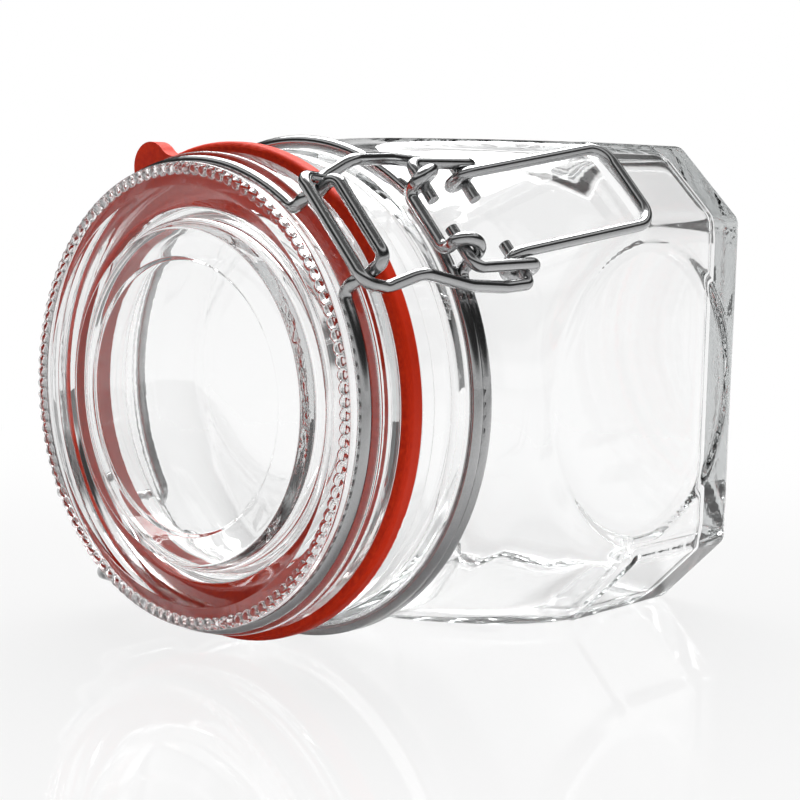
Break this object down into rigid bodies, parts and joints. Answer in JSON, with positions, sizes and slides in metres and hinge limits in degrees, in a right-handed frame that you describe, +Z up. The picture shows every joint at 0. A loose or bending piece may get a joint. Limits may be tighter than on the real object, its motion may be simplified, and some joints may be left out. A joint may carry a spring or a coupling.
{
  "type": "clip-top jar",
  "caption": "Square glass jar with cut corners and a round glass lid, clamped shut on a rubber ring by a bent-wire bail; lies on a flat side, empty; holds dry food or preserves",
  "frame": {"origin": "on the floor under the middle of the jar's length, as it lies on a flat side", "axes": "+X from the lid to the base along the jar's axis, +Z up, -Y toward the side with the latch"},
  "size_m": [0.116, 0.1043, 0.101],
  "materials": {
    "glass": "clear",
    "rubber": "satin",
    "wire": "polished"
  },
  "bodies": {
    "jar": {"jar_glass": "glass", "neck_wire": "wire"},
    "lid": {"lid_glass": "glass", "lid_wire": "wire", "gasket": "rubber"},
    "lever": {"lever": "wire"},
    "link": {"closing_link": "wire"}
  },
  "joints": [
    {"name": "lever_pivot", "type": "hinge", "parent": "jar", "child": "lever", "pos_m": [-0.0288, -0.03976, 0.0863], "axis": [0, -0.6691, -0.7431], "range_deg": [0, 128]},
    {"name": "link_pivot", "type": "hinge", "parent": "lever", "child": "link", "pos_m": [-0.013, -0.03812, 0.08483], "axis": [0, -0.6691, -0.7431], "range_deg": [-256, 0]},
    {"name": "lid_hinge", "type": "hinge", "parent": "jar", "child": "lid", "pos_m": [-0.044, 0.03909, 0.0153], "axis": [0, -0.6691, -0.7431], "range_deg": [0, 24.32]}
  ],
  "couplings": [
    {"joint": "link_pivot", "follows": "lever_pivot", "ratio": -2},
    {"joint": "lid_hinge", "follows": "lever_pivot", "ratio": 0.19}
  ]
}
